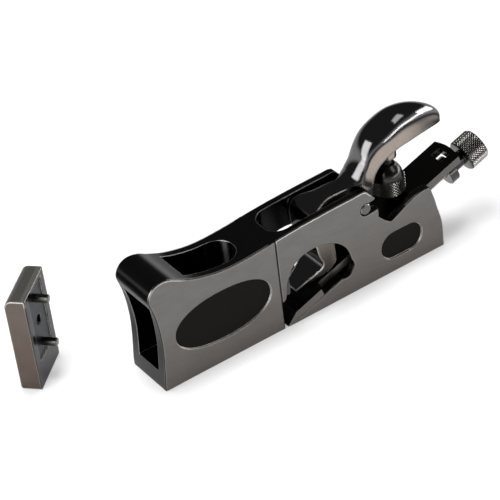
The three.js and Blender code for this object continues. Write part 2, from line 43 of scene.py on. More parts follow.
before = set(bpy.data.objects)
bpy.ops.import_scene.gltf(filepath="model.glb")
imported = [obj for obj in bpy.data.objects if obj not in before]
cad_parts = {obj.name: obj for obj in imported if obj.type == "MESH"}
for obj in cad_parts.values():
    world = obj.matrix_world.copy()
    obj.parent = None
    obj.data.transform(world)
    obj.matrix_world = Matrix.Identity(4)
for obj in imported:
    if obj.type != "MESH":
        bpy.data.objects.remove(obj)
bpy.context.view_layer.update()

# Sizes and places are in millimetres unless a comment says otherwise: x from toe to heel, z up from the sole.
MM = 0.001
BODY_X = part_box("main_body")[0].x / MM
HALF_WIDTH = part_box("main_body")[1].y / MM
TOE_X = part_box("long_nose")[0].x / MM
JOINT_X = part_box("long_nose")[1].x / MM
# How far out from the middle the floors of the recesses are.
RECESS_FLOOR = HALF_WIDTH - 1.0
# The bed rises towards the heel, from where its line meets the sole.
BED_FOOT = -12.69
BED_COS = 0.94552
BED_SIN = 0.32557
# The depth adjuster: the height of its axis above the bed, and how far along the bed its pieces begin and end.
ADJUSTER_HEIGHT = -7.0
ADJUSTER_RADIUS = 8.7
FLANGE, NECK, KNOB_FRONT, KNOB_END = 114.4, 119.4, 127.1, 138.4
SPINDLE_RADIUS = 2.5
SPINDLE_START, SPINDLE_END = 84.1, 134.1
# The upright thumbscrew: its axis, the foot of its head, and the height of the head's knurled part.
THUMB_X = 63.06
THUMB_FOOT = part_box("thumbscrew_head")[0].z / MM
THUMB_KNURLED = 9.4
# The spare nose stands turned by itself: the middle of its mating face, and its turn.
SPARE_X = -117.69
SPARE_Y = 37.5
SPARE_TURN = math.radians(-48)

# Corners of a CAD node that are nearer than the first are joined, and slivers thinner than the second are closed.
JOINED = 0.002 * MM
SLIVER = 0.0005 * MM
# How much the castings' edges are eased, and how sharp such an edge is at least.
EASING = 0.4
EASED_ANGLE = math.radians(38)
# How much of its width the lever cap's arm loses at its waist.
WAIST = 0.43
# Knurling begins and ends this far from a knob's edges, and the thread of the thumbscrew this far above its foot.
KNURL_MARGIN = 1.1
PLAIN_FOOT = 4.5

# Soft boxes: power in watts, place, width and height in metres. They face the plane.
LAMPS = (
    ("overhead", 13.5, (-0.05, 0.14, 1.10), 0.46, 0.46),
    ("window", 5.8, (-0.84, -0.11, 0.45), 0.80, 0.55),
    ("window sill", 0.75, (-0.84, -0.13, 0.13), 0.55, 0.12),
    ("low strip", 2.4, (0.66, -0.78, 0.055), 1.10, 0.07),
    ("low card", 1.5, (0.78, -0.15, 0.12), 0.40, 0.16),
    ("side box", 0.95, (0.48, -0.58, 0.66), 0.34, 0.40),
)
LIT_PLACE = (0.05, 0.0, 0.07)
# The camera's place in metres, and the directions to its right and above it.
CAMERA_PLACE = (-0.4489, -0.7152, 0.6468)
CAMERA_RIGHT = (0.8111, -0.5753, -0.1059)
CAMERA_UP = (0.411, 0.4317, 0.8029)


def on_bed(x, z):
    """How far a place is along the bed, and above it. Both are numbers or sockets."""
    ahead = x - BED_FOOT
    return ahead * BED_COS + z * BED_SIN, z * BED_COS - ahead * BED_SIN


# ---------------------------------------------------------------- node trees

class Value:
    """A socket of a node tree, on which arithmetic adds the Math nodes."""

    def __init__(self, tree, socket):
        self.tree = tree
        self.socket = socket

    def math(self, operation, *others):
        return self.tree.node("ShaderNodeMath", {"operation": operation}, [self, *others])

    def __add__(self, other):
        return self.math("ADD", other)

    def __sub__(self, other):
        return self.math("SUBTRACT", other)

    def __rsub__(self, other):
        return self.tree.node("ShaderNodeMath", {"operation": "SUBTRACT"}, [other, self])

    def __mul__(self, other):
        return self.math("MULTIPLY", other)

    def __truediv__(self, other):
        return self.math("DIVIDE", other)

    def __rtruediv__(self, other):
        return self.tree.node("ShaderNodeMath", {"operation": "DIVIDE"}, [other, self])

    def __abs__(self):
        return self.math("ABSOLUTE")

    __radd__ = __add__
    __rmul__ = __mul__

    def most(self, other):
        return self.math("MAXIMUM", other)

    def step(self, *limits):
        return self.tree.node("ShaderNodeMapRange", {"interpolation_type": "SMOOTHSTEP"}, [self, *limits])

    def rise(self, low, high):
        """0 below low, 1 above high, and a smooth step between them."""
        return self.step(low, high, 0.0, 1.0)

    def fall(self, low, high):
        """1 below low, 0 above high, and a smooth step between them."""
        return self.step(low, high, 1.0, 0.0)


class Tree:
    """A node tree that is written node by node."""

    def __init__(self, tree):
        self.tree = tree
        self.tree.nodes.clear()

    def add(self, kind, settings=None, values=()):
        """Adds a node: its type, its settings, then the values or links of its sockets."""
        node = self.tree.nodes.new(kind)
        for key, setting in (settings or {}).items():
            if key == "stops":
                for stop, (position, colour) in zip(node.color_ramp.elements, setting):
                    stop.position, stop.color = position, colour
            else:
                setattr(node, key, setting)
        for key, value in values.items() if isinstance(values, dict) else enumerate(values):
            if isinstance(value, Value):
                self.tree.links.new(value.socket, node.inputs[key])
            else:
                node.inputs[key].default_value = value
        return node

    def node(self, kind, settings=None, values=(), out=0):
        """Adds a node, and gives one of its outputs."""
        return Value(self, self.add(kind, settings, values).outputs[out])

    def apart(self, vector):
        """The three numbers of a vector."""
        return [Value(self, output) for output in self.add("ShaderNodeSeparateXYZ", None, [vector]).outputs]


class Finish(Tree):
    """One material: its tree, and the place and direction that its pattern starts from."""

    def __init__(self, name):
        self.material = bpy.data.materials.new(name)
        self.material.use_nodes = True
        super().__init__(self.material.node_tree)
        coordinates = self.add("ShaderNodeTexCoord")
        self.place = self.node("ShaderNodeVectorMath", {"operation": "SCALE"},
                               {"Vector": Value(self, coordinates.outputs["Object"]), "Scale": 1 / MM})
        self.x, self.y, self.z = self.apart(self.place)
        self.nx, self.ny, self.nz = self.apart(Value(self, coordinates.outputs["Normal"]))

    def mix(self, share, first, second):
        """The first colour, and the second where share is 1."""
        first, second = (colour if isinstance(colour, Value) else (*colour[:3], 1) for colour in (first, second))
        return self.node("ShaderNodeMix", {"data_type": "RGBA"}, {0: share, 6: first, 7: second}, out=2)

    def blend(self, share, first, second):
        """The first number, and the second where share is 1."""
        return share * second + (1 - share) * first

    def shade(self, colour, factor):
        """A colour made lighter or darker by a number."""
        return self.node("ShaderNodeVectorMath", {"operation": "SCALE"}, {"Vector": colour, "Scale": factor})

    def cloud(self, size, detail=2.0, stretch=(1, 1, 1), roughness=0.5):
        """Soft noise from 0 to 1 whose spots are size millimetres wide, and drawn out where stretch is small."""
        where = self.node("ShaderNodeVectorMath", {"operation": "MULTIPLY"},
                          [self.place, tuple(share / size for share in stretch)])
        return self.node("ShaderNodeTexNoise", None,
                         {"Vector": where, "Scale": 1.0, "Detail": detail, "Roughness": roughness})

    def facing(self):
        """The normal of the surface as it is."""
        return self.node("ShaderNodeNewGeometry", out="Normal")

    def rounded(self, radius):
        """The normal over edges eased by radius metres, and how much each spot is on such an edge."""
        eased = self.node("ShaderNodeBevel", {"samples": 6}, {"Radius": radius})
        dot = self.node("ShaderNodeVectorMath", {"operation": "DOT_PRODUCT"}, [eased, self.facing()], out="Value")
        return eased, dot.fall(0.80, 0.995)

    def surface(self, colour, roughness, height, depth, normal=None, glance=1.0):
        """The metal itself. Its bumps are height times depth high; glance is how much it reflects edge on."""
        bump = {"Height": height, "Distance": depth * MM}
        if normal is not None:
            bump["Normal"] = normal
        shader = self.node("ShaderNodeBsdfPrincipled", {"distribution": "MULTI_GGX"},
                           {"Metallic": 1.0, "Specular Tint": (glance, glance, glance, 1), "Base Color": colour,
                            "Roughness": roughness, "Normal": self.node("ShaderNodeBump", None, bump)})
        self.add("ShaderNodeOutputMaterial", None, {"Surface": shader})
        return self.material


# ---------------------------------------------------------------- finishes

def ground_iron(metal, settings):
    """Colour, roughness and height of a surface-ground face, a little darker and browner low down."""
    lines = metal.cloud(0.3, 3.0, (0.02, 1, 1), 0.65)
    blotches = metal.cloud(7.0, 4.0, (0.6, 1, 1), 0.6)
    colour = metal.mix(metal.z.fall(4, 46), settings.ground_colour, settings.ground_low_colour)
    colour = metal.shade(colour, 0.66 + lines * 0.32 + blotches * 0.36)
    rough = settings.ground_roughness - 0.04 + lines * 0.05 + blotches * 0.05
    return colour, rough, lines


def plane_plating(metal, settings, side, plate):
    """The plating of the body and the long nose, how much duller it is, and where it is a recess floor."""
    # The rims of the hollow's mouth are duller than the tops, and their colour is darkened as painted shade, more so
    # higher up.
    rim = metal.nx.fall(-0.95, -0.75) * metal.x.fall(TOE_X + 12, TOE_X + 16)
    plate = metal.shade(plate, 1 - rim * (0.35 + metal.z.rise(5, 26) * 0.6))
    # The floors of the recesses are dull and nearly black.
    outside = abs(metal.y)
    flat = abs(metal.ny).rise(0.7, 0.9)
    floor = flat * outside.rise(RECESS_FLOOR - 0.25, RECESS_FLOOR - 0.1) * (1 - side)
    grain = metal.cloud(0.45, 3.0, roughness=0.7)
    plate = metal.mix(floor, plate, metal.shade(settings.recess_colour, 0.7 + grain * 0.6))
    # The lips of the recesses are duller, and painted bright as a painted highlight.
    wall = (1 - flat) * outside.rise(RECESS_FLOOR - 0.1, RECESS_FLOOR + 0.1)
    lip_highlight = wall * metal.x.fall(JOINT_X - 4, JOINT_X - 3).most(metal.x.rise(62, 63) * metal.z.fall(38, 39))
    lip_highlight = lip_highlight * metal.x.rise(TOE_X + 11, TOE_X + 12)
    plate = metal.mix(lip_highlight * 0.8, plate, settings.edge_wear_and_highlight_colour)
    # Inside the mouth and the front of the top slot the plating is duller, and its colour is darkened as painted shade.
    mouth_shade = metal.x.rise(-7, -5) * metal.x.fall(4, 8) * outside.fall(HALF_WIDTH - 2.5, HALF_WIDTH - 1.5)
    plate = metal.shade(plate, 1 - mouth_shade * 0.8)
    return plate, rim * 0.14 + floor * 0.38 + lip_highlight * 0.25 + mouth_shade * 0.12, floor


def spare_axes(metal):
    """How far a place is ahead of the spare nose's mating face, and to its side."""
    ahead, aside = metal.x - SPARE_X, metal.y - SPARE_Y
    return (ahead * math.cos(SPARE_TURN) + aside * math.sin(SPARE_TURN),
            aside * math.cos(SPARE_TURN) - ahead * math.sin(SPARE_TURN))


def spare_plating(metal, settings, plate):
    """The plating of the spare nose, and how much duller it is."""
    along, across = spare_axes(metal)
    # The relief of the mating face is bare machined steel inside a dark rim, painted lighter toward its near side as a
    # painted reflection.
    panel = along.fall(-0.9, -0.25) * along.rise(-3.0, -2.2)
    near = across.fall(-9.5, -6.5)
    plate = metal.mix(panel, metal.shade(plate, 0.6), metal.shade(settings.machined_colour, 0.4 + near * 1.6))
    # Its top is duller, and painted a soft grey as painted light on the faces that look up.
    lit_top = metal.nz.rise(0.80, 0.95)
    plate = metal.mix(lit_top, plate, settings.bright_colour)
    return plate, panel * 0.22 + lit_top * 0.44


def plane_edge_wear_and_highlight(metal):
    """How much the edges of the body and the long nose are painted lighter, as wear where hands and other tools rub
    them and as painted highlight.
    """
    top = metal.z.rise(50.2, 51.0) * metal.x.rise(JOINT_X + 0.1, JOINT_X + 0.2) * 0.5
    horn = metal.z.rise(54, 57) * metal.x.fall(TOE_X + 18, TOE_X + 22) * 0.4
    rim = abs(metal.y).fall(10.6, 11.2) * metal.z.rise(44, 46) * metal.x.fall(JOINT_X - 1, JOINT_X) * 0.4
    return top.most(horn).most(rim)


def casting(name, settings, spare=False):
    """Castings: ground faces outside, dark bright plating on the tops and in the hollows, and dull recess floors."""
    metal = Finish(name)
    across = spare_axes(metal)[1] if spare else metal.y
    side = abs(across).rise(HALF_WIDTH - 0.12, HALF_WIDTH - 0.05)
    ground = side.most(metal.z.fall(0.02, 0.08))
    iron, iron_rough, lines = ground_iron(metal, settings)
    ripple = metal.cloud(3.5)
    dust = metal.cloud(0.5, 3.0)
    plate = metal.shade(settings.plate_colour, 0.85 + ripple * 0.3)
    plate_rough = settings.plate_roughness + dust * 0.05 + ripple * 0.04
    height = metal.blend(ground, ripple * 0.12 + dust * 0.05, lines)
    # The eased edges are painted lighter a little all over, and more where hands and other tools reach them: partly
    # wear, partly painted highlight.
    normal, edge = metal.rounded(settings.edge_radius)
    rubbed_and_highlit = metal.node("ShaderNodeAttribute", {"attribute_name": "rubbed_and_highlit"}, out="Fac")
    if spare:
        iron = metal.node("ShaderNodeVectorMath", {"operation": "MULTIPLY"}, [iron, (0.86, 0.74, 0.66)])
        plate, duller = spare_plating(metal, settings, plate)
        edge = edge.most(rubbed_and_highlit * (0.1 + metal.z.rise(48, 50) * 0.5))
    else:
        plate, duller, floor = plane_plating(metal, settings, side, plate)
        height = height + floor * metal.cloud(0.6, 3.0) * 3.0
        # The two castings meet in a fine dark line, and not in a rounded groove.
        from_joint = abs(metal.x - JOINT_X)
        joint = from_joint.fall(0.5, 0.9)
        normal = metal.node("ShaderNodeMix", {"data_type": "VECTOR"}, {0: joint, 4: normal, 5: metal.facing()}, out=1)
        edge = edge.most(rubbed_and_highlit * (0.1 + plane_edge_wear_and_highlight(metal))) * (1 - joint)
        iron = metal.mix(from_joint.fall(0.06, 0.2) * side * 0.45, iron, settings.recess_colour)
    colour = metal.mix(edge * 0.8, metal.mix(ground, plate, iron), settings.edge_wear_and_highlight_colour)
    rough = metal.blend(edge * 0.8, metal.blend(ground, plate_rough + duller, iron_rough), 0.42)
    return metal.surface(colour, rough, height, 0.006, normal, glance=0.8)


def cap_plate(settings):
    """The lever cap: bright black on its dome, ground by hand along its sides."""
    metal = Finish("lever_cap_plate")
    # The leg between the cheeks, behind the pin, is left dark.
    leg = metal.x.rise(42.0, 43.5) * metal.z.fall(50.0, 53.0)
    normal, edge = metal.rounded(settings.cap_edge_radius)
    over = metal.apart(metal.node("ShaderNodeVectorTransform", {"vector_type": "NORMAL", "convert_from": "WORLD",
                                                                "convert_to": "OBJECT"}, [normal]))[2]
    band = abs(metal.ny).rise(0.90, 0.97) * (1 - leg) * over.fall(0.10, 0.22)
    strokes = metal.cloud(0.25, 2.0, (0.15, 1, 0.15), 0.6)
    ripple = metal.cloud(7.0)
    dust = metal.cloud(0.6, 3.0)
    plate = metal.shade(settings.dome_colour, 0.9 + ripple * 0.2)
    bare = metal.shade(settings.cap_side_colour, 0.85 + strokes * 0.3)
    # The toe between the cheeks is darkened toward its foot, and the band toward its ends, both as painted shade.
    toe = metal.x.fall(18.0, 26.0) * metal.z.fall(18.0, 46.0)
    ends = metal.x.rise(66.0, 84.0).most(metal.z.fall(50.0, 60.0))
    bare = metal.shade(bare, (1 - toe * 0.8) * (1 - ends * 0.35))
    # A dark line between the band and the dome is painted shade. The edges inside the slot and the mouth are painted
    # bright, partly as wear and partly as painted highlight.
    seam = over.fall(0.26, 0.31) * (1 - band)
    colour = metal.mix(band, metal.shade(plate, 1 - seam * 0.85), bare)
    rubbed_and_highlit = edge * metal.x.fall(40.0, 44.0) * metal.x.fall(31.0, 33.0).most(metal.z.rise(50.0, 52.0))
    colour = metal.mix(rubbed_and_highlit, colour, settings.edge_wear_and_highlight_colour)
    rough = metal.blend(band, settings.dome_roughness + dust * 0.03, 0.30 + strokes * 0.10)
    rough = metal.blend(rubbed_and_highlit, rough, 0.36)
    return metal.surface(colour, rough, metal.blend(band, ripple * 0.15, strokes), 0.006, normal, glance=0.75)


def blade_steel(settings):
    """The blade: black face, ground edges and a bright bevel."""
    metal = Finish("blade_steel")
    along, above = on_bed(metal.x, metal.z)
    bevel = along.fall(7.0, 7.4) * above.rise(0.4, 0.5)
    bright = abs(metal.ny).rise(0.8, 0.95).most(bevel)
    hone = metal.cloud(0.2, 2.0, (1, 0.02, 1), 0.6)
    smudge = metal.cloud(14.0, 4.0)
    black = metal.shade(settings.black_colour, 0.75 + smudge * 0.5)
    bare = metal.shade(settings.bare_colour, 0.85 + hone * 0.2)
    normal, edge = metal.rounded(0.18 * MM)
    # The edges are painted lighter, as wear and as painted highlight.
    colour = metal.mix(edge * 0.45, metal.mix(bright, black, bare), settings.edge_wear_and_highlight_colour)
    rough = metal.blend(bright, 0.16 + smudge * 0.14, 0.26 + hone * 0.12)
    return metal.surface(colour, rough, hone * 0.5 + smudge * 0.2, 0.004, normal)


def black_steel(name, settings, groove, tilted):
    """Blacked knobs, lighter on the tips of the knurling as wear and as painted highlight, and with painted shade in
    the grooves between the diamonds. The tips stand farther out than groove millimetres.
    """
    metal = Finish(name)
    smudge = metal.cloud(5.0, 3.0)
    grain = metal.cloud(0.35)
    if tilted:
        along, above = on_bed(metal.x, metal.z)
        aside = above - ADJUSTER_HEIGHT
        knurled = along.rise(KNOB_FRONT + 0.5, KNOB_FRONT + 1.1) * along.fall(KNOB_END - 1.2, KNOB_END - 0.6)
    else:
        aside = metal.x - THUMB_X
        top = THUMB_FOOT + THUMB_KNURLED
        knurled = metal.z.fall(top - 0.68, top - 0.08) * metal.z.rise(THUMB_FOOT + 0.42, THUMB_FOOT + 0.82)
    out = (aside * aside + metal.y * metal.y).math("SQRT")
    colour = metal.shade(settings.black_colour, 0.8 + smudge * 0.7)
    # The grooves between the diamonds are darkened as painted shade.
    colour = metal.shade(colour, 1 - out.fall(groove - 0.1, groove + 0.15) * knurled * 0.7)
    if tilted:
        # The flange keeps dull steel.
        dull = metal.shade(settings.bare_colour, 0.3 + smudge * 0.6)
        colour = metal.mix(along.fall(NECK - 0.1, NECK + 0.2), colour, dull)
    # The tips of the knurling are painted lighter, as wear and as painted highlight.
    rubbed_and_highlit = out.rise(groove + 0.08, groove + 0.38) * knurled * (1.0 if tilted else 0.35)
    colour = metal.mix(rubbed_and_highlit, colour, settings.tip_wear_and_highlight_colour)
    return metal.surface(colour, 0.14 + grain * 0.08 + smudge * 0.1, grain, 0.004)


def bright_steel(settings):
    """Turned bright steel of the pin, the dowels, the screw and the spindle."""
    metal = Finish("bright_turned_steel")
    rings = metal.cloud(0.3, 2.0, (0.4, 0.4, 0.4), 0.6)
    smudge = metal.cloud(4.0, 3.0)
    normal, edge = metal.rounded(0.15 * MM)
    steel = metal.shade(settings.bright_colour, 0.8 + smudge * 0.35)
    # The ends of the cross pin are blacked with the cheeks.
    ends = abs(metal.y).rise(HALF_WIDTH - 0.3, HALF_WIDTH - 0.15)
    # The edges are painted lighter, as wear and as painted highlight.
    colour = metal.mix(edge * 0.5, metal.shade(steel, 1 - ends * 0.72), settings.edge_wear_and_highlight_colour)
    return metal.surface(colour, 0.2 + rings * 0.08 + smudge * 0.1, rings, 0.004, normal)


# ---------------------------------------------------------------- pieces

def piece_from(skin, name, crease):
    """A piece made of a skin, with its faces smooth up to the crease angle in degrees."""
    for face in skin.faces:
        face.smooth = True
    for edge in skin.edges:
        edge.smooth = len(edge.link_faces) == 2 and edge.calc_face_angle(math.pi) < math.radians(crease)
    mesh = bpy.data.meshes.new(name)
    skin.to_mesh(mesh)
    skin.free()
    return placed(name, mesh)


def placed(name, data):
    """An object of its own for a mesh, a lamp or a camera."""
    holder = bpy.data.objects.new(name, data)
    bpy.context.scene.collection.objects.link(holder)
    return holder


def plain_mesh(piece):
    """Turns what a piece's modifiers make into its mesh."""
    bpy.context.view_layer.update()
    evaluated = piece.evaluated_get(bpy.context.evaluated_depsgraph_get())
    made = bpy.data.meshes.new_from_object(evaluated)
    if not made.polygons:
        raise RuntimeError(f"{piece.name} came out empty")
    piece.modifiers.clear()
    piece.data = made
    made.name = piece.name


def carried(node, name, shapes=(), crease=32.0):
    """A copy of a CAD node with its corners joined, which then goes through the given shapes."""
    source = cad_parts[node].data
    loose = bpy.data.meshes.new(name)
    loose.from_pydata([vert.co for vert in source.vertices], [], [list(face.vertices) for face in source.polygons])
    skin = bmesh.new()
    skin.from_mesh(loose)
    bpy.data.meshes.remove(loose)
    bmesh.ops.remove_doubles(skin, verts=skin.verts, dist=JOINED)
    bmesh.ops.dissolve_degenerate(skin, edges=skin.edges, dist=SLIVER)
    for shape in shapes:
        shape(skin)
    piece = piece_from(skin, name, crease)
    weigh = piece.modifiers.new("even shading", "WEIGHTED_NORMAL")
    weigh.mode = "FACE_AREA_WITH_ANGLE"
    weigh.keep_sharp = True
    plain_mesh(piece)
    return piece


def close_joint(skin):
    """Carries the long nose's mating face up to the body, so that no daylight shows between the two."""
    for vert in skin.verts:
        if vert.co.x > (JOINT_X - 0.01) * MM:
            vert.co.x = (BODY_X - 0.02) * MM


def ease_edges(skin):
    """Eases the outward edges of a casting, and marks the new faces, whose colour is made lighter as wear and as
    painted highlight. The seam between the two castings and the edges of the bed stay sharp, and nothing passes the box
    that the casting had."""
    bmesh.ops.dissolve_limit(skin, angle_limit=math.radians(0.3), verts=skin.verts, edges=skin.edges)
    low, high = ([side(vert.co[axis] for vert in skin.verts) for axis in range(3)] for side in (min, max))
    rubbed_and_highlit = skin.faces.layers.float.new("rubbed_and_highlit")
    sharp = []
    for edge in skin.edges:
        seam = all(abs(vert.co.x / MM - JOINT_X) < 0.5 for vert in edge.verts)
        bed = all(abs(on_bed(vert.co.x / MM, vert.co.z / MM)[1]) < 0.1 for vert in edge.verts)
        if (len(edge.link_faces) == 2 and edge.is_convex and not seam and not bed
                and edge.calc_face_angle(0) > EASED_ANGLE):
            sharp.append(edge)
    made = bmesh.ops.bevel(skin, geom=sharp, offset=EASING * MM, offset_type="OFFSET", segments=2, profile=0.5,
                           affect="EDGES", clamp_overlap=False)
    for face in made["faces"]:
        face[rubbed_and_highlit] = 1.0
    for vert in skin.verts:
        vert.co = [min(max(place, least), most) for place, least, most in zip(vert.co, low, high)]
        # Low down the body ends behind the mouth, at the front edge of its bed.
        if vert.co.x > (BODY_X - 0.01) * MM and vert.co.z < 10 * MM:
            vert.co.x = max(vert.co.x, BED_FOOT * MM)


def waist(skin):
    """Draws in the upper sides of the lever cap's arm between the cheeks, to one curve from neck to toe."""
    def step(value, low, high):
        share = min(1.0, max(0.0, (value - low) / (high - low)))
        return share * share * (3 - 2 * share)

    for axis, first, last in ((0, 10, 46), (2, 42, 61)):
        across = Vector((axis == 0, 0, axis == 2))
        for cut in range(first, last):
            bmesh.ops.bisect_plane(skin, geom=[*skin.verts, *skin.edges, *skin.faces], dist=2 * SLIVER,
                                   plane_co=across * cut * MM, plane_no=across)
    for vert in skin.verts:
        x, z = vert.co.x / MM, vert.co.z / MM
        drawn = step(x, 11, 25) * (1 - step(x, 36, 44.5)) * step(z, 43, 50) * (1 - step(z, 57, 60.5))
        vert.co.y *= 1 - WAIST * drawn


def turned(name, profile, sides=96):
    """A body turned from a profile of (radius, height) points. It stands on the origin until its place is given."""
    skin = bmesh.new()
    rings = []
    for radius, height in profile:
        angles = [2 * math.pi * k / sides for k in range(sides if radius else 1)]
        rings.append([skin.verts.new((radius * MM * math.cos(angle), radius * MM * math.sin(angle), height * MM))
                      for angle in angles])
    for low, high in zip(rings, rings[1:]):
        for k in range(sides):
            corners = [low[k % len(low)], low[(k + 1) % len(low)], high[(k + 1) % len(high)], high[k % len(high)]]
            unique = list(dict.fromkeys(corners))
            if len(unique) > 2:
                skin.faces.new(unique)
    bmesh.ops.remove_doubles(skin, verts=skin.verts, dist=SLIVER)
    bmesh.ops.recalc_face_normals(skin, faces=skin.faces)
    return piece_from(skin, name, crease=30.0)


def adjuster_place():
    """The depth adjuster's axis, which rises along the bed, with its zero at the bed's foot."""
    start = Vector(((BED_FOOT - ADJUSTER_HEIGHT * BED_SIN) * MM, 0, ADJUSTER_HEIGHT * BED_COS * MM))
    axis = Vector((BED_COS, 0, BED_SIN))
    across = Vector((0, 1, 0))
    columns = Matrix((across, axis.cross(across), axis)).transposed()
    return Matrix.Translation(start) @ columns.to_4x4()


class Growth(Tree):
    """A Geometry Nodes tree with named inputs, for what repeats on a piece."""

    def __init__(self, name, inputs):
        super().__init__(bpy.data.node_groups.new(name, "GeometryNodeTree"))
        for in_out in ("INPUT", "OUTPUT"):
            self.tree.interface.new_socket("Geometry", in_out=in_out, socket_type="NodeSocketGeometry")
        for label, kind in inputs.items():
            self.tree.interface.new_socket(label, in_out="INPUT", socket_type=f"NodeSocket{kind}")
        self.inputs = self.add("NodeGroupInput")

    def given(self, label):
        return Value(self, self.inputs.outputs[label])

    def end(self, grown):
        """Joins what has grown to the piece, then Realize Instances and Set Material, as the last two nodes."""
        joined = self.add("GeometryNodeJoinGeometry", None, [grown])
        self.tree.links.new(self.inputs.outputs["Geometry"], joined.inputs[0])
        real = self.node("GeometryNodeRealizeInstances", None, [Value(self, joined.outputs[0])])
        painted = self.node("GeometryNodeSetMaterial", None, {"Geometry": real, "Material": self.given("Finish")})
        self.add("NodeGroupOutput", None, [painted])
        return self.tree


def knurl_tree():
    """Diamonds in staggered rows around a knob."""
    tree = Growth("diamond_knurling", {"Radius": "Float", "Start": "Float", "Row spacing": "Float", "Around": "Int",
                                       "Rows": "Int", "Height": "Float", "Finish": "Material"})
    radius, around, spacing = tree.given("Radius"), tree.given("Around"), tree.given("Row spacing")
    index = tree.node("GeometryNodeInputIndex")
    row = (index / around).math("FLOOR")
    angle = (index.math("MODULO", around) + row.math("MODULO", 2.0) * 0.5) / around * (2 * math.pi)
    spot = tree.node("ShaderNodeCombineXYZ", None, [angle.math("COSINE") * radius, angle.math("SINE") * radius,
                                                    tree.given("Start") + row * spacing])
    points = tree.node("GeometryNodePoints", None, {"Count": around * tree.given("Rows"), "Position": spot})
    diamond = tree.node("GeometryNodeMeshCone", {"fill_type": "NGON"},
                        {"Vertices": 4, "Radius Top": 0.0, "Radius Bottom": spacing, "Depth": tree.given("Height")})
    turn = tree.node("FunctionNodeEulerToRotation", None,
                     [tree.node("ShaderNodeCombineXYZ", None, [0.0, math.pi / 2, angle])])
    return tree.end(tree.node("GeometryNodeInstanceOnPoints", None,
                              {"Points": points, "Instance": diamond, "Rotation": turn}))


def thread_tree():
    """A ridge that winds up a rod."""
    tree = Growth("screw_thread", {"Radius": "Float", "Start": "Float", "Pitch": "Float", "Turns": "Float",
                                   "Depth": "Float", "Finish": "Material"})
    radius, turns = tree.given("Radius"), tree.given("Turns")
    winding = tree.node("GeometryNodeCurveSpiral", None,
                        {"Resolution": 24, "Rotations": turns, "Start Radius": radius, "End Radius": radius,
                         "Height": turns * tree.given("Pitch")})
    start = tree.node("ShaderNodeCombineXYZ", None, [0.0, 0.0, tree.given("Start")])
    lifted = tree.node("GeometryNodeTransform", None, {"Geometry": winding, "Translation": start})
    ridge = tree.node("GeometryNodeCurvePrimitiveCircle", {"mode": "RADIUS"},
                      {"Resolution": 4, "Radius": tree.given("Depth")})
    return tree.end(tree.node("GeometryNodeCurveToMesh", None,
                              {"Curve": lifted, "Profile Curve": ridge, "Fill Caps": True}))


def grow(piece, tree, values):
    """Runs a tree on a piece with its named inputs set, and keeps the result as a plain mesh."""
    modifier = piece.modifiers.new(tree.name, "NODES")
    modifier.node_group = tree
    sockets = {item.name: item.identifier for item in tree.interface.items_tree if item.in_out == "INPUT"}
    for label, value in values.items():
        modifier[sockets[label]] = value
    plain_mesh(piece)


def knurl(piece, foot, length, groove, sizes, finish):
    """Grows rows of square diamonds on a knob, from the foot of its knurled part over its length."""
    covered = length - 2 * KNURL_MARGIN
    across = math.pi * (groove * MM + sizes.height) / sizes.around
    rows = max(3, round(covered * MM / across) + 1)
    grow(piece, knurl_tree(), {"Radius": (groove - 0.03) * MM, "Start": (foot + KNURL_MARGIN) * MM,
                               "Row spacing": covered / (rows - 1) * MM, "Around": sizes.around, "Rows": rows,
                               "Height": sizes.height, "Finish": finish})


def wind(piece, start, end, core, sizes, finish):
    """Winds a thread on a rod, from one height to another."""
    grow(piece, thread_tree(), {"Radius": core * MM, "Start": start * MM, "Pitch": sizes.pitch,
                                "Turns": (end - start) * MM / sizes.pitch, "Depth": sizes.depth, "Finish": finish})


def wear(piece, finish, body, node):
    """Gives a finished piece its material and its body, and hides the CAD node that it stands for."""
    piece.data.materials.clear()
    piece.data.materials.append(finish)
    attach(piece, body)
    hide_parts(node)


# ---------------------------------------------------------------- what a user may change

def colour_property(name, description, default):
    return FloatVectorProperty(name=name, description=description, subtype="COLOR", size=3, min=0, max=1,
                               default=default)


